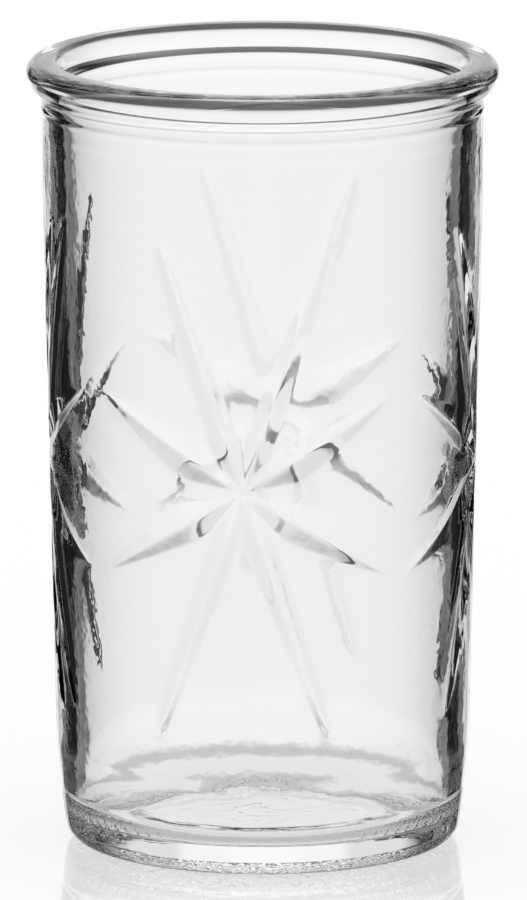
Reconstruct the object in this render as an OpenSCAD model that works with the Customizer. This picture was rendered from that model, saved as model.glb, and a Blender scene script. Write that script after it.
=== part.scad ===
// Pressed-glass tumbler with a lid bead and four eight-armed stars.
// The real object is one piece of glass. It is divided here into the zones that
// the neck ring, the body mould and the bottom plate of its press give it.
// The origin is the centre of the foot, +Z points up, and a star faces -Y.

/* [Tumbler] */
// Height from the table to the top of the lip
height = 121; // [100:1:150]
// Outside diameter of the wall just under the bead
neck_d = 67.1; // [60:0.1:80]
// Outside diameter of the wall at the top of the heel
foot_d = 63.3; // [56:0.1:74]
// Height of the upright wall between the neck band and the taper
upright_h = 12; // [2:0.5:20]
// Wall thickness at the lip
rim_wall = 3; // [2.4:0.1:4]
// Wall thickness at the top of the heel
foot_wall = 3.2; // [2.4:0.1:5]

/* [Rim bead] */
// How far the bead stands out from the neck at its widest
bead_proud = 2.45; // [1.5:0.05:4]
// Height of the bead, from the top of the lip to the foot of the soft corner under it
bead_h = 6.3; // [5.5:0.1:8]
// Rounding of the lip on the outside
lip_round = 2; // [0.8:0.1:2.6]
// How far the soft inner edge of the lip reaches out over the wall; it is as high as the bead
mouth_w = 1.65; // [0.8:0.05:2.2]
// How much the side of the bead draws in towards its under edge
bead_draft = 0.77; // [0.2:0.01:1.2]
// Height of the slope under the bead
bead_under_h = 1.3; // [0.6:0.1:1.9]
// Reach of the soft corner between the neck and the underside of the bead
bead_fillet = 0.9; // [0.3:0.1:1.2]
// Reach of the soft edge between the underside and the side of the bead
bead_edge = 0.15; // [0.05:0.05:0.4]

/* [Neck band] */
// Height from the top of the lip to the lower edge of the band
band_drop = 11; // [10:0.1:16]
// How far the band stands out from the wall
band_proud = 0.05; // [0.03:0.01:0.4]
// Height over which the lower edge of the band fades into the wall
band_fade = 0.8; // [0.2:0.1:1.2]
// Distance from the foot of the bead down to the middle of the raised ring line
ring_gap = 1.2; // [0.8:0.1:1.8]
// Width of the raised ring line
ring_w = 1.3; // [0.8:0.1:1.6]
// How far the ring line stands out from the band
ring_proud = 0.1; // [0.05:0.05:0.5]

/* [Stars] */
// Number of stars round the wall
star_count = 4; // [3:1:4]
// Clear wall between the tips of the tall arms and the neck band
star_top_gap = 12.6; // [6:0.1:20]
// Clear wall between the tips of the tall arms and the heel
star_foot_gap = 7; // [4:0.1:16]
// How far round the wall a tall arm reaches from the middle of its star
tall_reach = 13; // [10:0.1:15]
// Width of a tall arm at its widest
tall_w = 4.2; // [2.4:0.1:4.6]
// Depth of a tall arm's groove at its widest
tall_depth = 0.6; // [0.3:0.05:0.9]
// Distance from the middle of the star to where a tall arm is widest
tall_knee = 7; // [6:0.1:12]
// How far round the wall a broad arm reaches from the middle of its star
broad_reach = 23; // [17:0.1:24]
// How far up or down a broad arm reaches from the middle of its star
broad_rise = 13.5; // [11:0.1:15]
// Width of a broad arm at its widest
broad_w = 6; // [3:0.1:6.2]
// Depth of a broad arm's groove at its widest
broad_depth = 0.8; // [0.4:0.05:1]
// Distance from the middle of the star to where a broad arm is widest
broad_knee = 9; // [8:0.1:13]
// Radius of the uncut spot in the middle of a star
hub_r = 1; // [0.8:0.1:2]

/* [Heel] */
// Height of the heel, from the table to the straight wall
heel_h = 15.6; // [13:0.1:20]
// Height at which the sides of the heel would meet if they were straight
heel_knee_h = 12.2; // [8:0.1:12.6]
// How far in from the wall the outer edge of the resting ring lies
heel_inset = 4.5; // [3.8:0.1:6]
// Rounding of the heel above the table
heel_round = 3.2; // [2:0.1:3.8]
// Rounding of the corner inside the glass
corner_round = 4.2; // [1:0.1:4.4]
// Width of the resting ring
rest_w = 2.2; // [1.2:0.1:3]

/* [Notches of the resting ring] */
// Number of notches
notch_count = 72; // [36:1:80]
// Width of a notch
notch_w = 0.8; // [0.4:0.1:1]
// Depth of a notch
notch_depth = 0.15; // [0.1:0.05:0.5]

/* [Base] */
// Thickness of the glass under the inner corner
corner_t = 4.3; // [3:0.1:7]
// Outside diameter of the bottom disc, where the bottom plate of the mould ends
plate_d = 47; // [44:0.1:48]
// Diameter of the raised disc inside
disc_d = 40.8; // [32:0.1:42]
// Height of the raised disc inside
disc_rise = 1; // [0.4:0.1:1.6]
// Width of the slope at the edge of the raised disc
disc_slope_w = 2; // [0.8:0.1:2.4]
// Depth of the recess in the underside
recess_depth = 0.8; // [0.3:0.1:1.4]
// Width of the slope at the edge of the recess
recess_slope_w = 1; // [0.4:0.1:1.2]

/* [Hidden] */
$fn = 96;
// Steps along a rounded corner of an outline
arc_steps = 10;
// Steps along one arm of a star, and how many of them lead from the hub to its widest place
arm_steps = 9;
knee_steps = 2;
// How an arm narrows from its widest place to its tip: 1 is straight, less keeps it full for longer
tall_taper = 0.35;
broad_taper = 0.8;
// Faces in the outline of a notch's round cutter
notch_fn = 24;
// How far a cutter runs past the glass that it cuts
overrun = 0.2;
glass_colour = [0.86, 0.9, 0.9, 0.45];

neck_r = neck_d / 2;
foot_r = foot_d / 2;
bead_r = neck_r + bead_proud;
bead_z = height - bead_h;
band_z = height - band_drop;
taper_z = band_z - upright_h;
ring_z = bead_z - ring_gap;
rest_r = foot_r - heel_inset;
recess_r = rest_r - rest_w;
plate_r = plate_d / 2;
floor_z = corner_t;
disc_z = floor_z + disc_rise;
disc_r = disc_d / 2;
star_top_z = band_z - star_top_gap;
star_foot_z = heel_h + star_foot_gap;
star_z = (star_top_z + star_foot_z) / 2;
tall_rise = (star_top_z - star_foot_z) / 2;

// Outside radius of the wall at height z: it widens up to taper_z and is upright above
function wall_r(z) = foot_r + (neck_r - foot_r) * min(1, (z - heel_h) / (taper_z - heel_h));

// Inside radius of the wall at height z
function bore_r(z) =
    let (low = foot_r - foot_wall, high = neck_r - rim_wall)
    low + (high - low) * (z - heel_h) / (height - heel_h);

// Points of an arc round [r, z], from angle a0 to angle a1
function arc(centre, radius, a0, a1) =
    [for (i = [0:arc_steps]) let (a = a0 + (a1 - a0) * i / arc_steps)
        centre + radius * [cos(a), sin(a)]];

// Points of a curve from p0 to p2 that both sides of the corner p1 touch
function bend(p0, p1, p2) =
    [for (i = [0:arc_steps]) let (t = i / arc_steps)
        (1 - t) * (1 - t) * p0 + 2 * t * (1 - t) * p1 + t * t * p2];

// The corner p between its neighbours, softened along both sides as far as reach
function soft_corner(before, p, after, reach) =
    bend(p + reach * (before - p) / norm(before - p), p, p + reach * (after - p) / norm(after - p));

// Angle at which the line from p touches a circle, on its outer side
function touch_angle(p, centre, radius) =
    let (d = p - centre) atan2(d[1], d[0]) - acos(radius / norm(d));

// A solid of revolution from an outline in [radius, height]
module turned(outline) {
    color(glass_colour) rotate_extrude() polygon(outline);
}

module rim_bead() {
    // The soft inner edge is a quarter of an ellipse that leaves the bore at the foot of the bead
    mouth = [for (p = arc([0, 0], 1, 180, 90))
        [bore_r(bead_z) + mouth_w * (1 + p[0]), bead_z + bead_h * p[1]]];
    lip_centre = [bead_r - lip_round, height - lip_round];
    lip_foot = [bead_r, height - lip_round];
    under_edge = [bead_r - bead_draft, bead_z + bead_fillet + bead_under_h];
    under_foot = [wall_r(bead_z) + band_proud, bead_z + bead_fillet];
    neck = [under_foot[0], bead_z];
    turned(concat(
        mouth,
        arc(lip_centre, lip_round, 90, 0),
        soft_corner(lip_foot, under_edge, under_foot, bead_edge),
        soft_corner(under_edge, under_foot, neck, bead_fillet)));
}

module neck_band() {
    // A full wave across the width of the ring line, level with the band at both edges
    ring_line = [for (i = [0:arc_steps]) let (z = ring_z + ring_w * (1 / 2 - i / arc_steps))
        [wall_r(z) + band_proud + ring_proud * (1 - cos(360 * i / arc_steps)) / 2, z]];
    turned(concat(
        [[bore_r(band_z), band_z], [bore_r(bead_z), bead_z], [wall_r(bead_z) + band_proud, bead_z]],
        ring_line,
        [[wall_r(band_z) + band_proud, band_z + band_fade], [wall_r(band_z), band_z]]));
}

// A place on the wall of the star that faces -Y: u runs round the wall to the right,
// v runs up from the star's middle, and h stands out from the glass
function on_wall(u, v, h) =
    let (r = wall_r(star_z + v), a = u / r * 180 / PI)
    [(r + h) * sin(a), -(r + h) * cos(a), star_z + v];

// The cutter of one arm: a V-shaped groove that widens and deepens from the hub to the
// knee, and narrows from there to the tip at [reach, rise]
module arm_cutter(reach, rise, arm_w, depth, knee, taper) {
    span = norm([reach, rise]);
    along = [reach, rise] / span;
    across = [-along[1], along[0]];
    spread = arm_w / 2 / depth;
    // Distance of each station of the groove from the middle of the star
    station = [for (i = [0:arm_steps]) i <= knee_steps
        ? hub_r + (knee - hub_r) * i / knee_steps
        : knee + (span - knee) * (i - knee_steps) / (arm_steps - knee_steps)];
    // Depth of the groove there; at both ends its bottom lies just above the glass
    sunk = [for (i = [0:arm_steps])
        i == 0 || i == arm_steps ? -overrun / 2
        : i <= knee_steps ? depth * i / knee_steps
        : depth * pow((span - station[i]) / (span - knee), taper)];
    function place(i, off, h) =
        let (p = along * station[i] + across * off) on_wall(p[0], p[1], h);
    points = [for (i = [0:arm_steps]) let (half = spread * (sunk[i] + overrun)) each
        [place(i, half, overrun), place(i, -half, overrun), place(i, 0, -sunk[i])]];
    // The three sides of the groove between one station and the next, in triangles
    sides = [for (i = [0:arm_steps - 1]) for (k = [0:2])
        let (a = 3 * i + k, b = 3 * i + (k + 1) % 3) each [[a, a + 3, b], [b, a + 3, b + 3]]];
    last = 3 * arm_steps;
    polyhedron(points, concat(sides, [[0, 1, 2], [last + 2, last + 1, last]]));
}

module star_cutter() {
    for (side = [-1, 1]) {
        for (way = [-1, 1]) {
            arm_cutter(side * tall_reach, way * tall_rise, tall_w, tall_depth, tall_knee, tall_taper);
            arm_cutter(side * broad_reach, way * broad_rise, broad_w, broad_depth, broad_knee,
                broad_taper);
        }
    }
}

module star_wall() {
    color(glass_colour) difference() {
        rotate_extrude() polygon([
            [bore_r(heel_h), heel_h], [bore_r(band_z), band_z],
            [wall_r(band_z), band_z], [wall_r(taper_z), taper_z], [wall_r(heel_h), heel_h]]);
        for (i = [0:star_count - 1]) rotate([0, 0, i * 360 / star_count]) star_cutter();
    }
}

module heel() {
    heel_centre = [rest_r, heel_round];
    knee = [wall_r(heel_knee_h), heel_knee_h];
    touch = touch_angle(knee, heel_centre, heel_round);
    corner_z = floor_z + corner_round;
    corner_centre = [bore_r(corner_z) - corner_round, corner_z];
    outline = concat(
        [[plate_r, recess_depth], [recess_r - recess_slope_w, recess_depth], [recess_r, 0]],
        arc(heel_centre, heel_round, -90, touch),
        bend(heel_centre + heel_round * [cos(touch), sin(touch)], knee, [wall_r(heel_h), heel_h]),
        [[bore_r(heel_h), heel_h]],
        arc(corner_centre, corner_round, 0, -90),
        [[plate_r, floor_z]]);
    color(glass_colour) difference() {
        rotate_extrude() polygon(outline);
        for (i = [0:notch_count - 1])
            rotate([0, 0, (i + 1 / 2) * 360 / notch_count])
                translate([recess_r - overrun, 0, notch_depth - notch_w / 2])
                    rotate([0, 90, 0]) cylinder(d = notch_w, h = rest_w + 2 * overrun, $fn = notch_fn);
    }
}

module base_disc() {
    turned([
        [0, recess_depth], [plate_r, recess_depth], [plate_r, floor_z],
        [disc_r, floor_z], [disc_r - disc_slope_w, disc_z], [0, disc_z]]);
}

rim_bead();
neck_band();
star_wall();
heel();
base_disc();
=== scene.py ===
import math

import bmesh
import bpy
import numpy as np
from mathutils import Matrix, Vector, geometry


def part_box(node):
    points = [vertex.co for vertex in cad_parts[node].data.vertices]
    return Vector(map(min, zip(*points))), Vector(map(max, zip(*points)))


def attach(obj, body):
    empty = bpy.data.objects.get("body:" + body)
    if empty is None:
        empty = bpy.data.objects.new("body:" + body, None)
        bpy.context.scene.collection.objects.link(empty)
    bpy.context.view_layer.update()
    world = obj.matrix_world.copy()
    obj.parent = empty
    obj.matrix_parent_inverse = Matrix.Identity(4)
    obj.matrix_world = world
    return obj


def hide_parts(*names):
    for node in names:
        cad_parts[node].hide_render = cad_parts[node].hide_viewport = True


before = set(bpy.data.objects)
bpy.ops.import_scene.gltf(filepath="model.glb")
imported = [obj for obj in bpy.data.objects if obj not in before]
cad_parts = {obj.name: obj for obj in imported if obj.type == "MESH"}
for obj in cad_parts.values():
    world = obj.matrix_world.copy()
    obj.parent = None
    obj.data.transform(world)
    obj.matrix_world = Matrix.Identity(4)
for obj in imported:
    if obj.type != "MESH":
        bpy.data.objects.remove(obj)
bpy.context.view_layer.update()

mm = 0.001
print("frame loaded, nodes:", sorted(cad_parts))


def addNode(tree, kind, values=(), **settings):
    # The values go to the node's inputs, in their order or by name: a socket is linked, all else is set
    node = tree.nodes.new(kind)
    for key, value in settings.items():
        setattr(node, key, value)
    placed = values if isinstance(values, dict) else dict(enumerate(values))
    for key, value in placed.items():
        if isinstance(value, bpy.types.NodeSocket):
            tree.links.new(value, node.inputs[key])
        else:
            node.inputs[key].default_value = value
    return node


def linearColour(code):
    channels = [int(code[i:i + 2], 16) / 255 for i in (1, 3, 5)]
    return tuple(c / 12.92 if c <= 0.04045 else ((c + 0.055) / 1.055) ** 2.4 for c in channels) + (1.0,)


# The camera stands a little to the right of the star that faces it, and looks down on the rim
view = {
    "turn": 5.5,              # degrees round the glass from the -Y star
    "tilt": 11.4,             # degrees above the horizon
    "distance": 2.2,
    "lens": 575.5,            # a long lens: the sides of the glass hardly converge
    "sensor": 36,
    "nearest": 0.1,
    "farthest": 60,
    "aim": (0.12, 0, 60.22),
}


def addCamera(v):
    turn, tilt = math.radians(v["turn"]), math.radians(v["tilt"])
    back = Vector((math.sin(turn) * math.cos(tilt), -math.cos(turn) * math.cos(tilt), math.sin(tilt)))
    data = bpy.data.cameras.new("camera")
    data.lens = v["lens"]
    data.sensor_width = v["sensor"]
    data.clip_start = v["nearest"]
    data.clip_end = v["farthest"]
    camera = bpy.data.objects.new("camera", data)
    bpy.context.scene.collection.objects.link(camera)
    camera.rotation_mode = "QUATERNION"
    camera.rotation_quaternion = (-back).to_track_quat("-Z", "Y")
    camera.location = Vector(v["aim"]) * mm + back * v["distance"]
    bpy.context.scene.camera = camera


addCamera(view)

# Sizes of the glass in millimetres: the main ones are read from the frame's nodes
nodeLow, nodeHigh = {}, {}
for name in ("rim_bead", "neck_band", "star_wall", "heel", "base_disc"):
    low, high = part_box(name)
    nodeLow[name], nodeHigh[name] = low / mm, high / mm
skin = 0.01                   # the glass stays this far inside the frame's box

glass = {
    "height": nodeHigh["rim_bead"].z,
    "beadRadius": nodeHigh["rim_bead"].x - skin,
    "beadLow": nodeLow["rim_bead"].z,
    "bandLow": nodeLow["neck_band"].z,
    "neckRadius": nodeHigh["star_wall"].x,
    "footRadius": nodeHigh["heel"].x - skin,
    "heelTop": nodeHigh["heel"].z,
    "recess": nodeLow["base_disc"].z,
    "discTop": nodeHigh["base_disc"].z,
    "uprightHeight": 12,      # upright wall between the neck band and the taper
    "taperSoft": 5,           # height over which the taper turns upright
    "rimWall": 3,
    "footWall": 3.2,
    "lipRound": 2,
    "lipSteps": 15,
    "mouthWidth": 1.65,       # the inner edge of the lip is drawn long and soft, as high as the bead
    "mouthSteps": 18,
    "beadDraft": 0.77,
    "beadUnder": 1.3,
    "beadFillet": 0.9,
    "beadEdge": 0.15,
    "beadEase": (0.05, 0.4),  # the side of the bead ends this far inside of its widest place, and below it
    "beadSteps": 9,
    "bandFade": 0.8,
    "bandBendShare": 0.4,     # rounding of the band's two edges, as a share of its fade
    "bandProud": 0.05,
    "bandSteps": 5,
    "ringDrop": 7.5,
    "ringWidth": 1.3,
    "ringProud": 0.1,
    "ringPoints": 9,
    "ringSpread": 1.25,       # the soft feet of the ring line, as shares of its width
    "ringBelow": 0.7,
    "ringAbove": 0.6,
    "heelKnee": 12.2,
    "heelInset": 4.5,
    "heelRound": 3.2,
    "heelSteps": 14,
    "cornerRound": 4.2,
    "cornerThick": 4.3,
    "cornerGap": 0.5,         # from the inner corner to the next row on the wall and on the floor
    "cornerSteps": 14,
    "restWidth": 2.2,
    "restStep": 0.35,
    "recessSlope": 1,
    "recessBends": (0.3, 0.4),
    "recessSteps": 5,
    "recessFlat": 3,          # from the resting ring to the last close row of the recess
    "recessRows": 4,          # and to the first of its even rows
    "recessStep": 1.2,
    "recessPole": 0.5,
    "discRadius": 20.4,
    "discSlope": 2,
    "discBends": (0.7, 0.9),
    "discSteps": 6,
    "discFlat": 5,            # from the foot of the disc's edge to the last close row
    "discRows": 6,            # and to the first of the even rows
    "discWave": 0.55,         # the edge of the raised disc wanders, as the gob spread there
    "discWaves": ((5, 0.6, 1), (8, 2.1, 0.7), (13, 4.0, 0.45)),   # waves round the edge, phase, share
    "waveReach": 3.5,         # how far from the edge the rows still follow it
    "floorStep": 1,
    "markRadius": 4.1,        # a fine ring in the middle of the floor, left by the plunger
    "markWidth": 0.35,
    "markDepth": 0.03,
    "markReach": 1.2,         # the rows are close from this far outside of the ring
    "markGap": 2,
    "markStep": 0.3,
    "columns": 240,           # round the glass
    "footColumns": 720,       # round the resting ring, fine enough for its notches
    "boreStep": 2.3,
    "boreStart": 0.4,         # first row of the bore, below the mouth
    "boreBreak": 1,           # rows of the bore that keep off the seam at the top of the heel
    "boreInside": 1,          # a row is on the bore when it is this far inside of the neck
    "boreSmooth": 2,          # fire-polished height of the bore below the mouth
    "heelFadeTop": 3,         # heights over which the ripple of the heel fades in from both ends
    "heelFadeFoot": 1.5,
    "notchedRows": 3,         # rows of the heel's round that the notches reach
    "plainRows": 4,           # rows at the start of the recess that they don't
    "starLow": 17.5,          # the star panels start and end at these heights
    "starHigh": 104,
    "weld": 0.002,
}

star = {
    "count": 4,
    "height": 60,
    "hub": 1.0,
    "valley": 0.25,           # rounding of a groove's bottom
    "brink": 0.08,            # rounding of its edges, as a depth
    "blunt": 0.12,            # rounding of its widest place, as a share of its half width
    "bluntLift": 0.1,
    "arms": [
        {"reach": 13, "rise": 37.4, "width": 4.2, "depth": 0.6, "knee": 7, "taper": 0.35},
        {"reach": 23, "rise": 13.5, "width": 6, "depth": 0.8, "knee": 9, "taper": 0.8},
    ],
    "crossShares": (0, 0.05, 0.14, 0.32, 0.52, 0.72, 0.87, 0.95, 1),
    "crossBeyond": (0.12, 0.28),
    "firstStation": 0.5,      # of the points along a groove, from the hub
    "nearStations": 8,
    "stationStep": 1.3,
    "stationBias": 0.8,
    "tipShort": 0.15,
    "spacing": 1.5,           # of the points between the grooves
    "rowShare": 0.87,         # as shares of it: height of a row, space to the borders and to the grooves
    "borderShare": 0.4,
    "clearShare": 0.5,
    "hubRings": ((0, 1), (0.45, 6), (0.9, 12)),     # radius and number of the points at the hub
    "hubClear": 0.2,
    "tolerance": 0.0001,
}


def wallRadius(z):
    g = glass
    taperTop = g["bandLow"] - g["uprightHeight"]
    share = (z - g["heelTop"]) / (taperTop - g["heelTop"])
    soft = g["taperSoft"] / (taperTop - g["heelTop"])
    share = 0.5 * (share + 1 - np.sqrt((share - 1) ** 2 + soft ** 2))   # a soft lesser of share and 1
    return g["footRadius"] + (g["neckRadius"] - g["footRadius"]) * share


def boreRadius(z):
    g = glass
    low, high = g["footRadius"] - g["footWall"], g["neckRadius"] - g["rimWall"]
    return low + (high - low) * (z - g["heelTop"]) / (g["height"] - g["heelTop"])


def armHalfWidth(arm, s):
    span = math.hypot(arm["reach"], arm["rise"])
    rising = (s - star["hub"]) / (arm["knee"] - star["hub"])
    falling = np.clip((span - s) / (span - arm["knee"]), 0, None) ** arm["taper"]
    blunt = star["blunt"]
    lesser = 0.5 * (rising + falling - np.sqrt((rising - falling) ** 2 + blunt ** 2))
    return arm["width"] / 2 * np.clip(lesser + blunt * star["bluntLift"], 0, 1)


def eachArm():
    for arm in star["arms"]:
        for side in (1, -1):
            for way in (1, -1):
                angle = math.atan2(way * arm["rise"], side * arm["reach"])
                yield arm, math.cos(angle), math.sin(angle)


def grooveDepth(u, v):
    total = np.zeros_like(u)
    brink = star["brink"]
    for arm, c, s in eachArm():
        along, across = u * c + v * s, v * c - u * s
        span = math.hypot(arm["reach"], arm["rise"])
        past = np.maximum(along - span, 0) + np.maximum(star["hub"] - along, 0)
        off = np.sqrt(across ** 2 + past ** 2 + star["valley"] ** 2) - star["valley"]
        ratio = arm["width"] / 2 / arm["depth"]
        sharp = (armHalfWidth(arm, along) - off) / ratio
        depth = 0.5 * (sharp + np.sqrt(sharp ** 2 + brink ** 2))
        fade = brink ** 2 / 4 / np.maximum(-sharp, brink)   # what the soft edge leaves far off
        total += np.where(sharp < -brink, np.maximum(depth - fade, 0), depth)
    return total


def armLines(arm, c, s):
    # The mesh lines that run along one groove, as lists of points in the unrolled wall
    span = math.hypot(arm["reach"], arm["rise"])
    near = np.linspace(star["hub"] + star["firstStation"], arm["knee"], star["nearStations"])[:-1]
    shares = np.linspace(0, 1, int(span / star["stationStep"])) ** star["stationBias"]
    far = arm["knee"] + (span - arm["knee"]) * shares
    far[-1] = span - star["tipShort"]
    stations = np.concatenate([near, far])
    half = armHalfWidth(arm, stations)
    offsets = [share * half for share in star["crossShares"]]
    offsets += [half + beyond for beyond in star["crossBeyond"]]
    lines = []
    for side in (1, -1):
        for k, off in enumerate(offsets):
            if side < 0 and k == 0:
                continue
            lines.append(np.stack([stations * c - side * off * s, stations * s + side * off * c], 1))
    return lines


def plainPoints(half, taken):
    # The hub, and a staggered grid between the grooves that keeps off them and off the borders
    g = glass
    step = star["spacing"]
    border = half - step * star["borderShare"]
    grid = []
    rows = np.arange(g["starLow"] + step, g["starHigh"] - step / 2, step * star["rowShare"])
    for row, z in enumerate(rows):
        start = -half + step * (0.5 if row % 2 else 1)
        grid += [(start + i * step, z) for i in range(int(2 * half / step)) if start + i * step < border]
    hub = [(r * math.cos(a), star["height"] + r * math.sin(a)) for r, n in star["hubRings"]
           for a in np.arange(n) * 2 * math.pi / n]
    grid, taken = np.array(grid + hub), np.array(taken)
    away = np.array([np.min(np.hypot(*(taken - p).T)) for p in grid])
    isHub = np.arange(len(grid)) >= len(grid) - len(hub)
    kept = grid[np.where(isHub, away > star["hubClear"], away > step * star["clearShare"])]
    return [tuple(p) for p in kept]


def starPanel():
    # One quarter of the wall round a star, triangulated in the unrolled plane: angles, heights and faces
    g = glass
    quarter = math.pi / star["count"]
    reference = (g["footRadius"] + g["neckRadius"]) / 2
    columns = g["columns"] // star["count"]
    points, edges, armPoints = [], [], []
    for z in (g["starLow"], g["starHigh"]):
        points += [(a * reference, z) for a in np.linspace(-quarter, quarter, columns + 1)]
    rows = int((g["starHigh"] - g["starLow"]) / star["spacing"])
    sideHeights = np.linspace(g["starLow"], g["starHigh"], rows + 1)[1:-1]
    for a in (-quarter, quarter):
        points += [(a * reference, z) for z in sideHeights]
    for arm, c, s in eachArm():
        for line in armLines(arm, c, s):
            heights = star["height"] + line[:, 1]
            start = len(points)
            placed = [(u / wallRadius(z) * reference, z) for u, z in zip(line[:, 0], heights)]
            points += placed
            armPoints += placed
            edges += [(start + i, start + i + 1) for i in range(len(placed) - 1)]
    points += plainPoints(quarter * reference, armPoints)
    corners = [Vector(p) for p in points]
    flat, _, faces, _, _, _ = geometry.delaunay_2d_cdt(corners, edges, [], 0, star["tolerance"])
    flat = np.array([tuple(p) for p in flat])
    return flat[:, 0] / reference, flat[:, 1], [tuple(f) for f in faces]


def bendPath(corners, steps):
    # A path through corners (radius, height, cut); a bend starts and ends that far from its corner
    path = []
    guard = 1.25              # a support row just before and after a bend keeps its shading off the flats
    for i, (r, z, cut) in enumerate(corners):
        p = np.array((r, z), float)
        if cut == 0:
            path.append(p)
            continue
        toLast = np.array(corners[i - 1][:2]) - p
        toNext = np.array(corners[i + 1][:2]) - p
        a = p + toLast / np.hypot(*toLast) * cut
        b = p + toNext / np.hypot(*toNext) * cut
        path.append(p + (a - p) * guard)
        path += [(1 - t) ** 2 * a + 2 * t * (1 - t) * p + t * t * b for t in np.linspace(0, 1, steps)]
        path.append(p + (b - p) * guard)
    return path


def arcPath(centre, across, up, start, end, steps):
    angles = np.linspace(math.radians(start), math.radians(end), steps)
    return [np.array((centre[0] + across * math.cos(a), centre[1] + up * math.sin(a))) for a in angles]


def fillPath(path, step):
    out = [path[0]]
    for a, b in zip(path, path[1:]):
        pieces = max(1, int(np.hypot(*(b - a)) / step + 0.5))
        out += [a + (b - a) * i / pieces for i in range(1, pieces + 1)]
    return out


def borePath(top, foot):
    return fillPath([np.array((boreRadius(z), z)) for z in (top, foot)], glass["boreStep"])


def upperProfile():
    # From the top of the star panels over the band, bead and lip, then down to the middle of the floor
    g = glass
    ringMiddle = g["height"] - g["ringDrop"]
    ringWidth = g["ringWidth"]
    bandR = g["neckRadius"] + g["bandProud"]
    ring = []
    for t in np.linspace(0, 1, g["ringPoints"]):
        lift = g["ringProud"] * 0.5 * (1 - math.cos(2 * math.pi * t))
        ring.append(np.array((bandR + lift, ringMiddle + ringWidth * g["ringSpread"] * (t - 0.5))))
    bandCut = g["bandFade"] * g["bandBendShare"]
    band = bendPath([(wallRadius(g["starHigh"]), g["starHigh"], 0),
                     (g["neckRadius"], g["bandLow"], bandCut),
                     (bandR, g["bandLow"] + g["bandFade"], bandCut),
                     (bandR, ringMiddle - ringWidth * g["ringBelow"], 0)], g["bandSteps"])
    lip = (g["beadRadius"] - g["lipRound"], g["height"] - g["lipRound"])
    easeIn, easeDown = g["beadEase"]
    underZ = g["beadLow"] + g["beadFillet"]
    under = bendPath([(bandR, ringMiddle + ringWidth * g["ringAbove"], 0),
                      (bandR, underZ, g["beadFillet"]),
                      (g["beadRadius"] - g["beadDraft"], underZ + g["beadUnder"], g["beadEdge"]),
                      (g["beadRadius"] - easeIn, lip[1] - easeDown, 0)], g["beadSteps"])
    lipArc = arcPath(lip, g["lipRound"], g["lipRound"], 0, 90, g["lipSteps"])
    mouthZ = g["beadLow"]
    mouth = (boreRadius(mouthZ) + g["mouthWidth"], mouthZ)
    mouthArc = arcPath(mouth, g["mouthWidth"], g["height"] - mouthZ, 90, 180, g["mouthSteps"])
    cornerZ = g["cornerThick"] + g["cornerRound"]
    corner = (boreRadius(cornerZ) - g["cornerRound"], cornerZ)
    cornerArc = arcPath(corner, g["cornerRound"], g["cornerRound"], 0, -90, g["cornerSteps"])
    bore = borePath(mouthZ - g["boreStart"], g["heelTop"])
    bore += borePath(g["heelTop"] - g["boreBreak"], cornerZ + g["cornerGap"])
    edge = g["discRadius"]
    footBend, topBend = g["discBends"]
    floor = bendPath([(corner[0] - g["cornerGap"], g["cornerThick"], 0),
                      (edge, g["cornerThick"], footBend),
                      (edge - g["discSlope"], g["discTop"], topBend),
                      (edge - g["discFlat"], g["discTop"], 0)], g["discSteps"])
    wide = np.arange(edge - g["discRows"], g["markRadius"] + g["markGap"], -g["floorStep"])
    close = np.arange(g["markRadius"] + g["markReach"], g["markStep"], -g["markStep"])
    radii = np.concatenate([wide, close])
    dents = g["markDepth"] * np.exp(-((radii - g["markRadius"]) / g["markWidth"]) ** 2)
    middle = [np.array((r, g["discTop"] - dent)) for r, dent in zip(radii, dents)]
    return band + ring[1:-1] + under + lipArc + mouthArc + bore + cornerArc + floor + middle


def lowerProfile():
    # From the foot of the star panels down the heel to the resting ring, then in to the recess's middle
    g = glass
    restR = g["footRadius"] - g["heelInset"]
    centre = np.array((restR, g["heelRound"]))
    knee = np.array((wallRadius(g["heelKnee"]), g["heelKnee"]))
    reach = knee - centre
    touch = math.atan2(reach[1], reach[0]) - math.acos(g["heelRound"] / np.hypot(*reach))
    start = np.array((wallRadius(g["heelTop"]), g["heelTop"]))
    end = centre + g["heelRound"] * np.array((math.cos(touch), math.sin(touch)))
    bend = [(1 - t) ** 2 * start + 2 * t * (1 - t) * knee + t * t * end
            for t in np.linspace(0, 1, g["heelSteps"])]
    heel = arcPath(centre, g["heelRound"], g["heelRound"], math.degrees(touch), -90, g["heelSteps"])[1:]
    recessR = restR - g["restWidth"]
    restEnd = recessR + g["restStep"]
    rest = fillPath([heel[-1], np.array((restEnd, 0.0))], g["restStep"])[1:]
    footBend, topBend = g["recessBends"]
    recess = bendPath([(restEnd, 0, 0), (recessR, 0, footBend),
                       (recessR - g["recessSlope"], g["recess"], topBend),
                       (recessR - g["recessFlat"], g["recess"], 0)], g["recessSteps"])[1:]
    radii = np.arange(recessR - g["recessRows"], g["recessPole"], -g["recessStep"])
    middle = [np.array((r, g["recess"])) for r in radii]
    top = [np.array((wallRadius(g["starLow"]), g["starLow"]))]
    return top + bend + heel, rest + recess, middle


def discEdgeWave(angle):
    # Runs between about -1 and 1
    return sum(share * math.sin(count * angle + phase) for count, phase, share in glass["discWaves"]) / 2


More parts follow.
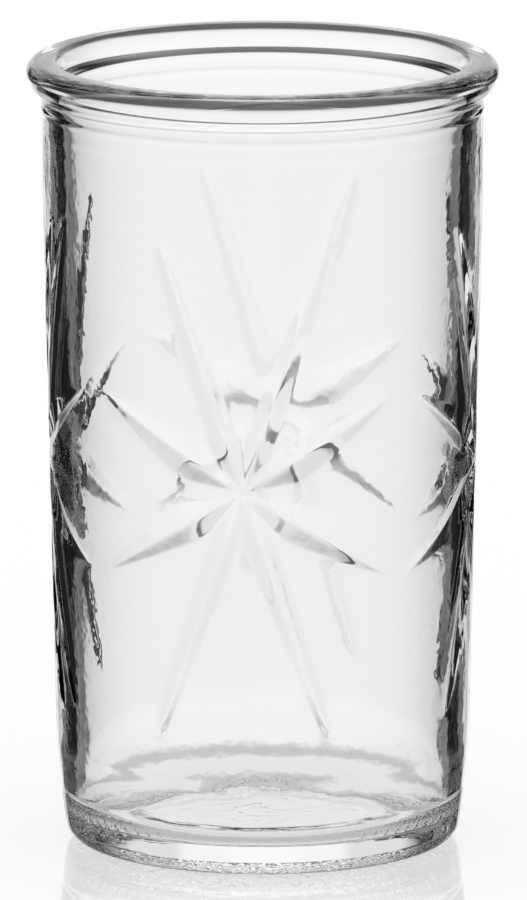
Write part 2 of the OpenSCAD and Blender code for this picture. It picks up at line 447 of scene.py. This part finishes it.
class Shell:
    # The marks say how strongly each kind of press mark shows at a point, from 0 to 1
    def __init__(self):
        self.points = []
        self.faces = []
        self.marks = {"restingRing": [], "innerWall": [], "heelSkin": [], "baseSkin": []}

    def markPoints(self, count, **shares):
        for name, values in self.marks.items():
            values += [shares.get(name, 0.0)] * count

    def addRing(self, r, z, columns, wave=0, **shares):
        first = len(self.points)
        for i in range(columns):
            a = 2 * math.pi * i / columns
            waved = r + (wave * discEdgeWave(a) if wave else 0)
            self.points.append((waved * math.cos(a), waved * math.sin(a), z))
        self.markPoints(columns, **shares)
        return list(range(first, first + columns))

    def bridge(self, a, b):
        # Joins two rings; where one has more points, each gap of the other takes several
        if len(a) == len(b):
            n = len(a)
            self.faces += [(a[i], a[(i + 1) % n], b[(i + 1) % n], b[i]) for i in range(n)]
            return
        few, many = (a, b) if len(a) < len(b) else (b, a)
        ratio = len(many) // len(few)
        middle = (ratio + 1) // 2
        for i, p in enumerate(few):
            q = few[(i + 1) % len(few)]
            for k in range(ratio):
                m0, m1 = many[i * ratio + k], many[(i * ratio + k + 1) % len(many)]
                self.faces.append((p if k < middle else q, m0, m1))
            self.faces.append((p, q, many[i * ratio + middle]))

    def closeRings(self, rings, z):
        # Joins the rings in their order and closes the last one round its middle point
        for a, b in zip(rings, rings[1:]):
            self.bridge(a, b)
        middle = len(self.points)
        self.points.append((0, 0, z))
        self.markPoints(1, baseSkin=1.0)
        last = rings[-1]
        self.faces += [(p, last[(i + 1) % len(last)], middle) for i, p in enumerate(last)]


def addUpperRings(shell):
    g = glass
    rings = []
    boreFoot = g["cornerThick"] + g["cornerRound"]
    for r, z in upperProfile():
        inside = r < g["neckRadius"] - g["boreInside"]
        onBore = inside and boreFoot < z < g["beadLow"] - g["boreSmooth"]
        onBase = min(1, max(0, (boreFoot - z) / (boreFoot - g["cornerThick"])))
        fromEdge = abs(r - g["discRadius"] + g["discSlope"] / 2) / g["waveReach"]
        follow = max(0, 1 - fromEdge ** 2) if z < g["discTop"] + skin else 0
        rings.append(shell.addRing(r, z, g["columns"], wave=follow * g["discWave"],
                                   innerWall=1.0 if onBore else 0.0, baseSkin=onBase))
    shell.closeRings(rings, g["discTop"])


def addLowerRings(shell):
    g = glass
    outside, foot, middle = lowerProfile()
    notched, plain = g["notchedRows"], g["plainRows"]
    rings = []
    for r, z in outside[:-notched]:
        share = max(0, min(1, (g["heelTop"] - z) / g["heelFadeTop"], z / g["heelFadeFoot"]))
        rings.append(shell.addRing(r, z, g["columns"], heelSkin=share))
    for r, z in outside[-notched:] + foot[:-plain]:
        rings.append(shell.addRing(r, z, g["footColumns"], restingRing=1.0))
    for r, z in foot[-plain:-1]:
        rings.append(shell.addRing(r, z, g["footColumns"]))
    for r, z in foot[-1:] + middle:
        rings.append(shell.addRing(r, z, g["columns"], baseSkin=1.0))
    shell.closeRings(rings, g["recess"])


def addStarPanels(shell):
    angles, heights, faces = starPanel()
    wall = wallRadius(heights)
    radius = wall - grooveDepth(angles * wall, heights - star["height"])
    for k in range(star["count"]):
        first = len(shell.points)
        turned = angles + k * 2 * math.pi / star["count"] - math.pi / 2
        shell.points += list(zip(radius * np.cos(turned), radius * np.sin(turned), heights))
        shell.faces += [tuple(first + i for i in f) for f in faces]
        shell.markPoints(len(angles))


def meshFromShell(shell, name):
    mesh = bpy.data.meshes.new(name)
    mesh.from_pydata([(x * mm, y * mm, z * mm) for x, y, z in shell.points], [], shell.faces)
    for key, values in shell.marks.items():
        mesh.attributes.new(key, "FLOAT", "POINT").data.foreach_set("value", values)
    bm = bmesh.new()
    bm.from_mesh(mesh)
    bmesh.ops.remove_doubles(bm, verts=bm.verts, dist=glass["weld"] * mm)
    bmesh.ops.recalc_face_normals(bm, faces=bm.faces)
    openEdges = sum(1 for e in bm.edges if len(e.link_faces) != 2)
    bm.to_mesh(mesh)
    bm.free()
    mesh.update()
    print(name, "points", len(mesh.vertices), "faces", len(mesh.polygons), "open edges", openEdges)
    return mesh


# Clear soda-lime glass, pressed and fire-polished: no colour of its own and a mirror-smooth skin. The fine
# ripple of the cold mould frays the edges of what shows through it, and the foot is stippled.
finish = {
    "colour": "#ffffff",
    "roughness": 0.0,
    "ior": 1.52,
    "ripple": 1.8,            # millimetres from crest to crest
    "rippleHeight": 0.015,
    "rippleTop": 112,         # the fire-polished rim has none
    "rippleFade": 4,
    "stipple": 0.7,
    "stippleHeight": 0.22,
    "stippleTop": 2.4,        # the stipple covers the foot from this height down, outside of the recess
    "stippleRadius": 24,
    "stippleFade": 0.5,
}


def sodaLimeGlass(f):
    material = bpy.data.materials.new("clearSodaLimeGlass")
    material.use_nodes = True
    tree = material.node_tree
    shader = tree.nodes["Principled BSDF"]
    shader.inputs["Base Color"].default_value = linearColour(f["colour"])
    shader.inputs["Roughness"].default_value = f["roughness"]
    shader.inputs["IOR"].default_value = f["ior"]
    shader.inputs["Transmission Weight"].default_value = 1.0
    place = addNode(tree, "ShaderNodeTexCoord").outputs["Object"]
    height = addNode(tree, "ShaderNodeSeparateXYZ", (place,)).outputs["Z"]
    level = addNode(tree, "ShaderNodeVectorMath", (place, (1, 1, 0)), operation="MULTIPLY").outputs[0]
    radius = addNode(tree, "ShaderNodeVectorMath", (level,), operation="LENGTH").outputs["Value"]
    waves = addNode(tree, "ShaderNodeTexNoise",
                    {"Vector": place, "Scale": 1 / (f["ripple"] * mm), "Detail": 1.0}).outputs[0]
    dots = addNode(tree, "ShaderNodeTexNoise",
                   {"Vector": place, "Scale": 1 / (f["stipple"] * mm), "Detail": 0.0}).outputs[0]
    # How high the ripple and the stipple stand at each place
    top = f["rippleTop"]
    rippled = addNode(tree, "ShaderNodeMapRange", (
        height, top * mm, (top - f["rippleFade"]) * mm, 0.0, f["rippleHeight"] * mm)).outputs[0]
    top = f["stippleTop"]
    low = addNode(tree, "ShaderNodeMapRange", (
        height, top * mm, (top - f["stippleFade"]) * mm, 0.0, 1.0)).outputs[0]
    inner = f["stippleRadius"]
    wide = addNode(tree, "ShaderNodeMapRange", (
        radius, inner * mm, (inner + f["stippleFade"]) * mm, 0.0, f["stippleHeight"] * mm)).outputs[0]
    stippled = addNode(tree, "ShaderNodeMath", (low, wide), operation="MULTIPLY").outputs[0]
    waves = addNode(tree, "ShaderNodeMath", (waves, rippled), operation="MULTIPLY").outputs[0]
    dots = addNode(tree, "ShaderNodeMath", (dots, stippled), operation="MULTIPLY").outputs[0]
    both = addNode(tree, "ShaderNodeMath", (waves, dots), operation="ADD").outputs[0]
    bump = addNode(tree, "ShaderNodeBump", {"Height": both, "Distance": 1.0}).outputs[0]
    tree.links.new(bump, shader.inputs["Normal"])
    return material


# Geometry Nodes: notches across the resting ring, and the long ripple that the cold mould leaves on the
# inner wall, the heel and both sides of the base
pressMarks = {
    "Notch Count": 72,
    "Notch Width": 0.62 * mm,
    "Notch Depth": 0.15 * mm,
    "Ring Radius": 26 * mm,
    "Ripple Height": 0.03 * mm,
    "Ripple Length": 9 * mm,
    "Heel Height": 0.16 * mm,
    "Heel Length": 6 * mm,
    "Base Height": 0.05 * mm,
    "Base Length": 5 * mm,
    "Seed": 7,
}
rippleForms = {
    # squeeze below 1 draws the bumps out upwards, above 1 it flattens them; the noise runs from 0 to 1, and
    # where it is at its middle the surface stays in its place
    "Ripple": {"squeeze": 0.6, "middle": 0.5},
    "Heel": {"squeeze": 2.6, "middle": 1.0},
    "Base": {"squeeze": 1.0, "middle": 0.5},
}


def newTree(name, inputs):
    tree = bpy.data.node_groups.new(name, "GeometryNodeTree")
    tree.interface.new_socket("Geometry", in_out="INPUT", socket_type="NodeSocketGeometry")
    for key, value in inputs.items():
        kind = "NodeSocketInt" if isinstance(value, int) else "NodeSocketFloat"
        tree.interface.new_socket(key, in_out="INPUT", socket_type=kind).default_value = value
    tree.interface.new_socket("Material", in_out="INPUT", socket_type="NodeSocketMaterial")
    tree.interface.new_socket("Geometry", in_out="OUTPUT", socket_type="NodeSocketGeometry")
    return tree


def notchHollow(tree, given, place):
    # How deep a notch is, from 0 to 1: off is 0 in the middle of a notch and 1 at its edges
    parts = addNode(tree, "ShaderNodeSeparateXYZ", (place,)).outputs
    angle = addNode(tree, "ShaderNodeMath", (parts["Y"], parts["X"]), operation="ARCTAN2").outputs[0]
    turns = addNode(tree, "ShaderNodeMath", (angle, 2 * math.pi), operation="DIVIDE").outputs[0]
    count = given["Notch Count"]
    pitches = addNode(tree, "ShaderNodeMath", (turns, count), operation="MULTIPLY").outputs[0]
    share = addNode(tree, "ShaderNodeMath", (pitches,), operation="FRACT").outputs[0]
    share = addNode(tree, "ShaderNodeMath", (share, 0.5), operation="SUBTRACT").outputs[0]
    share = addNode(tree, "ShaderNodeMath", (share,), operation="ABSOLUTE").outputs[0]
    radius = given["Ring Radius"]
    around = addNode(tree, "ShaderNodeMath", (radius, 2 * math.pi), operation="MULTIPLY").outputs[0]
    pitch = addNode(tree, "ShaderNodeMath", (around, count), operation="DIVIDE").outputs[0]
    off = addNode(tree, "ShaderNodeMath", (share, pitch), operation="MULTIPLY").outputs[0]
    half = addNode(tree, "ShaderNodeMath", (given["Notch Width"], 0.5), operation="MULTIPLY").outputs[0]
    off = addNode(tree, "ShaderNodeMath", (off, half), operation="DIVIDE").outputs[0]
    square = addNode(tree, "ShaderNodeMath", (off, 2.0), operation="POWER").outputs[0]
    hollow = addNode(tree, "ShaderNodeMath", (1.0, square), operation="SUBTRACT").outputs[0]
    return addNode(tree, "ShaderNodeMath", (hollow, 0.0), operation="MAXIMUM").outputs[0]


def pressMarksTree(inputs, forms):
    tree = newTree("pressMarks", inputs)
    given = addNode(tree, "NodeGroupInput").outputs
    place = addNode(tree, "GeometryNodeInputPosition").outputs[0]

    def where(height, mark):
        # The height, only where the mark shows
        share = addNode(tree, "GeometryNodeInputNamedAttribute", {"Name": mark},
                        data_type="FLOAT").outputs[0]
        return addNode(tree, "ShaderNodeMath", (height, share), operation="MULTIPLY").outputs[0]

    def ripple(zone):
        scale = (1, 1, forms[zone]["squeeze"])
        scaled = addNode(tree, "ShaderNodeVectorMath", (place, scale), operation="MULTIPLY").outputs[0]
        length, height = given[zone + " Length"], given[zone + " Height"]
        size = addNode(tree, "ShaderNodeMath", (1.0, length), operation="DIVIDE").outputs[0]
        noise = addNode(tree, "ShaderNodeTexNoise", {
            "Vector": scaled, "Scale": size, "W": given["Seed"], "Detail": 1.0, "Roughness": 0.4},
            noise_dimensions="4D").outputs[0]
        middle = forms[zone]["middle"]
        off = addNode(tree, "ShaderNodeMath", (noise, middle), operation="SUBTRACT").outputs[0]
        return addNode(tree, "ShaderNodeMath", (off, height), operation="MULTIPLY").outputs[0]

    hollow, depth = where(notchHollow(tree, given, place), "restingRing"), given["Notch Depth"]
    notch = addNode(tree, "ShaderNodeMath", (hollow, depth), operation="MULTIPLY").outputs[0]
    swell = where(ripple("Ripple"), "innerWall")
    sink = where(ripple("Heel"), "heelSkin")
    rise = where(ripple("Base"), "baseSkin")
    sideways = addNode(tree, "ShaderNodeMath", (swell, sink), operation="ADD").outputs[0]
    upwards = addNode(tree, "ShaderNodeMath", (notch, rise), operation="ADD").outputs[0]
    outward = addNode(tree, "ShaderNodeVectorMath", (place, (1, 1, 0)), operation="MULTIPLY").outputs[0]
    outward = addNode(tree, "ShaderNodeVectorMath", (outward,), operation="NORMALIZE").outputs[0]
    level = addNode(tree, "ShaderNodeVectorMath", {0: outward, "Scale": sideways},
                    operation="SCALE").outputs[0]
    lift = addNode(tree, "ShaderNodeCombineXYZ", {"Z": upwards}).outputs[0]
    offset = addNode(tree, "ShaderNodeVectorMath", (level, lift), operation="ADD").outputs[0]
    moved = addNode(tree, "GeometryNodeSetPosition", {"Geometry": given["Geometry"], "Offset": offset})
    whole = addNode(tree, "GeometryNodeRealizeInstances", {"Geometry": moved.outputs[0]})
    done = addNode(tree, "GeometryNodeSetMaterial",
                   {"Geometry": whole.outputs[0], "Material": given["Material"]})
    addNode(tree, "NodeGroupOutput", {"Geometry": done.outputs[0]})
    return tree


def applyTree(obj, tree, material):
    modifier = obj.modifiers.new(tree.name, "NODES")
    modifier.node_group = tree
    for item in tree.interface.items_tree:
        if item.in_out == "INPUT" and item.name == "Material":
            modifier[item.identifier] = material
    depsgraph = bpy.context.evaluated_depsgraph_get()
    result = bpy.data.meshes.new_from_object(obj.evaluated_get(depsgraph), depsgraph=depsgraph)
    obj.modifiers.clear()
    obj.data = result


def buildTumbler():
    shell = Shell()
    addUpperRings(shell)
    addLowerRings(shell)
    addStarPanels(shell)
    tumbler = bpy.data.objects.new("tumblerGlass", meshFromShell(shell, "tumblerGlass"))
    bpy.context.scene.collection.objects.link(tumbler)
    applyTree(tumbler, pressMarksTree(pressMarks, rippleForms), sodaLimeGlass(finish))
    for mark in shell.marks:
        tumbler.data.attributes.remove(tumbler.data.attributes[mark])
    tumbler.data.shade_smooth()
    return tumbler


tumbler = buildTumbler()
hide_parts("rim_bead", "neck_band", "star_wall", "heel", "base_disc")
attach(tumbler, "root")
print("tumbler built, triangles", sum(len(p.vertices) - 2 for p in tumbler.data.polygons))

# The floor is a glossy white sheet; it mirrors the glass faintly and keeps its soft shadow
floorSheet = {
    "radius": 8,
    "corners": 96,
    "drop": 0.05 * mm,
    "colour": "#fdfdfd",
    "ownWhite": 0.7,          # share of the sheet's white that no shadow touches
    "ior": 1.45,
    "paintedRingAndShadow": [
        # millimetres from the middle of the foot, brightness of the sheet as the base of the glass shows
        # it: painted shade and light
        (0, 0.72), (24, 0.72), (27, 0.5), (30, 0.55), (33, 0.88), (41, 0.88), (46, 0.6), (90, 0.6),
    ],
    "fadeFrom": 54,           # from here out the glass shows the studio behind the sheet
    "fadeTo": 86,
}


def fillRamp(ramp, values):
    # The first and the last stop of a new ramp are at 0 and 1
    stops = ramp.color_ramp.elements
    for place, _ in values[1:-1]:
        stops.new(place)
    for stop, (_, value) in zip(stops, values):
        stop.color = (value, value, value, 1)


def glossyWhiteSheet(f):
    material = bpy.data.materials.new("glossyWhiteSheet")
    material.use_nodes = True
    tree = material.node_tree
    tree.nodes.clear()
    path = addNode(tree, "ShaderNodeLightPath").outputs
    lit = addNode(tree, "ShaderNodeBsdfDiffuse", {"Color": linearColour(f["colour"])}).outputs[0]
    white = addNode(tree, "ShaderNodeEmission", {"Color": (1, 1, 1, 1), "Strength": 1.0}).outputs[0]
    share = addNode(tree, "ShaderNodeMath", (path["Is Camera Ray"], f["ownWhite"]),
                    operation="MULTIPLY").outputs[0]
    sheet = addNode(tree, "ShaderNodeMixShader", (share, lit, white)).outputs[0]
    mirror = addNode(tree, "ShaderNodeBsdfGlossy", {"Color": (1, 1, 1, 1), "Roughness": 0.0}).outputs[0]
    gloss = addNode(tree, "ShaderNodeFresnel", {"IOR": f["ior"]}).outputs[0]
    seen = addNode(tree, "ShaderNodeMixShader", (gloss, sheet, mirror)).outputs[0]
    # Seen through the glass, the sheet glows with painted light: a painted bright ring round its foot, with
    # a painted soft shadow outside it
    place = addNode(tree, "ShaderNodeTexCoord").outputs["Object"]
    away = addNode(tree, "ShaderNodeVectorMath", (place,), operation="LENGTH").outputs["Value"]
    reach = f["paintedRingAndShadow"][-1][0]
    awayShare = addNode(tree, "ShaderNodeMath", (away, reach * mm), operation="DIVIDE").outputs[0]
    ramp = addNode(tree, "ShaderNodeValToRGB", (awayShare,))
    fillRamp(ramp, [(distance / reach, value) for distance, value in f["paintedRingAndShadow"]])
    # painted light: an emission, not a lamp, draws the ring of light and the shadow that the glass shows on
    # the sheet
    paintedRingGlow = addNode(tree, "ShaderNodeEmission", {"Color": ramp.outputs[0], "Strength": 1.0}).outputs[0]
    clear = addNode(tree, "ShaderNodeBsdfTransparent").outputs[0]
    fade = addNode(tree, "ShaderNodeMapRange", (away, f["fadeFrom"] * mm, f["fadeTo"] * mm, 0.0, 1.0),
                   interpolation_type="SMOOTHSTEP").outputs[0]
    through = addNode(tree, "ShaderNodeMixShader", (fade, paintedRingGlow, clear)).outputs[0]
    whole = addNode(tree, "ShaderNodeMixShader", (path["Is Transmission Ray"], seen, through)).outputs[0]
    addNode(tree, "ShaderNodeOutputMaterial", (whole,))
    return material


def buildFloor(f):
    mesh = bpy.data.meshes.new("floorSheet")
    angles = np.linspace(0, 2 * math.pi, f["corners"], endpoint=False)
    ring = [(f["radius"] * math.cos(a), f["radius"] * math.sin(a), -f["drop"]) for a in angles]
    mesh.from_pydata(ring, [], [tuple(range(f["corners"]))])
    mesh.materials.append(glossyWhiteSheet(f))
    floor = bpy.data.objects.new("floorSheet", mesh)
    bpy.context.scene.collection.objects.link(floor)
    floor.visible_glossy = False


buildFloor(floorSheet)

# The studio: a bright screen stands behind the glass in a dim room. Dark cloths hang at both sides of the
# screen, and the edges of the glass show them as dark lines.
studio = {
    "turn": 5.5,              # degrees round from the star that faces the camera
    "room": [
        # degrees above the horizon, brightness
        (-90, 0.5), (-50, 0.5), (-38, 0.4), (-30, 0.4), (40, 0.4), (60, 0.25), (90, 0.15),
    ],
    "parts": [
        # Half width and soft edge in degrees round, and brightness by height. In order: the cloths, the
        # canopy that reaches over them, the outer screen, and the middle of the screen
        {"half": 72, "edge": 36, "heights": [
            (-90, 0.5), (-50, 0.5), (-38, 0.03), (-30, 0.01), (40, 0.01), (60, 0.1), (90, 0.15)]},
        {"half": 40, "edge": 12, "heights": [
            (-90, 0.3), (-50, 0.1), (-30, 0.01), (2, 0.01), (6, 0.75), (24, 0.8), (34, 0.5), (50, 0.2),
            (90, 0.4)]},
        {"half": 18, "edge": 4, "heights": [
            (-90, 0.3), (-50, 0.06), (-24, 0.03), (-22, 0.1), (-20, 0.4), (-18, 0.76), (-14, 0.88),
            (-9, 0.91), (-4, 0.95), (24, 0.95), (34, 0.5), (50, 0.3), (90, 0.5)]},
        {"half": 6.5, "edge": 10, "heights": [
            (-90, 0.35), (-50, 0.16), (-24, 0.1), (-22, 0.2), (-20, 0.5), (-18, 0.82), (-14, 0.93),
            (-9, 0.97), (-4, 1.0), (24, 1.0), (34, 0.6), (50, 0.3), (90, 0.5)]},
    ],
}


def buildStudio(s):
    world = bpy.data.worlds.new("studio")
    bpy.context.scene.world = world
    world.use_nodes = True
    world.cycles.sampling_method = "NONE"     # the sky has no small lamps to look for
    tree = world.node_tree
    tree.nodes.clear()
    way = addNode(tree, "ShaderNodeTexCoord").outputs["Generated"]
    level = addNode(tree, "ShaderNodeVectorMath", (way, (1, 1, 0)), operation="MULTIPLY").outputs[0]
    level = addNode(tree, "ShaderNodeVectorMath", (level,), operation="NORMALIZE").outputs[0]
    behind = math.radians(s["turn"] + 180)
    facing = (math.sin(behind), -math.cos(behind), 0)
    dot = addNode(tree, "ShaderNodeVectorMath", (level, facing), operation="DOT_PRODUCT").outputs["Value"]
    dot = addNode(tree, "ShaderNodeMath", (dot, 1.0), operation="MINIMUM").outputs[0]
    off = addNode(tree, "ShaderNodeMath", (dot,), operation="ARCCOSINE").outputs[0]
    rise = addNode(tree, "ShaderNodeSeparateXYZ", (way,)).outputs["Z"]
    share = addNode(tree, "ShaderNodeMapRange", (rise, -1.0, 1.0, 0.0, 1.0)).outputs[0]

    def brightness(heights):
        ramp = addNode(tree, "ShaderNodeValToRGB", (share,))
        fillRamp(ramp, [(0.5 + 0.5 * math.sin(math.radians(degrees)), value) for degrees, value in heights])
        return ramp.outputs[0]

    pattern = brightness(s["room"])
    for part in s["parts"]:
        half, edge = math.radians(part["half"]), math.radians(part["edge"]) / 2
        mask = addNode(tree, "ShaderNodeMapRange", (off, half + edge, half - edge, 0.0, 1.0),
                       interpolation_type="SMOOTHSTEP").outputs[0]
        pattern = addNode(tree, "ShaderNodeMix", {0: mask, 2: pattern, 3: brightness(part["heights"])},
                          data_type="FLOAT").outputs[0]
    # The background and the light on the sheet are plain white; the glass alone shows the pattern
    path = addNode(tree, "ShaderNodeLightPath").outputs
    plain = addNode(tree, "ShaderNodeMath", (path["Is Camera Ray"], path["Is Diffuse Ray"]),
                    operation="MAXIMUM").outputs[0]
    strength = addNode(tree, "ShaderNodeMix", {0: plain, 2: pattern, 3: 1.0}, data_type="FLOAT").outputs[0]
    back = addNode(tree, "ShaderNodeBackground", {"Color": (1, 1, 1, 1), "Strength": strength}).outputs[0]
    addNode(tree, "ShaderNodeOutputWorld", (back,))


buildStudio(studio)

scene = bpy.context.scene
scene.view_settings.view_transform = "Standard"
scene.cycles.max_bounces = 32
scene.cycles.transmission_bounces = 32
scene.cycles.glossy_bounces = 16
scene.cycles.diffuse_bounces = 2
print("stage ready")
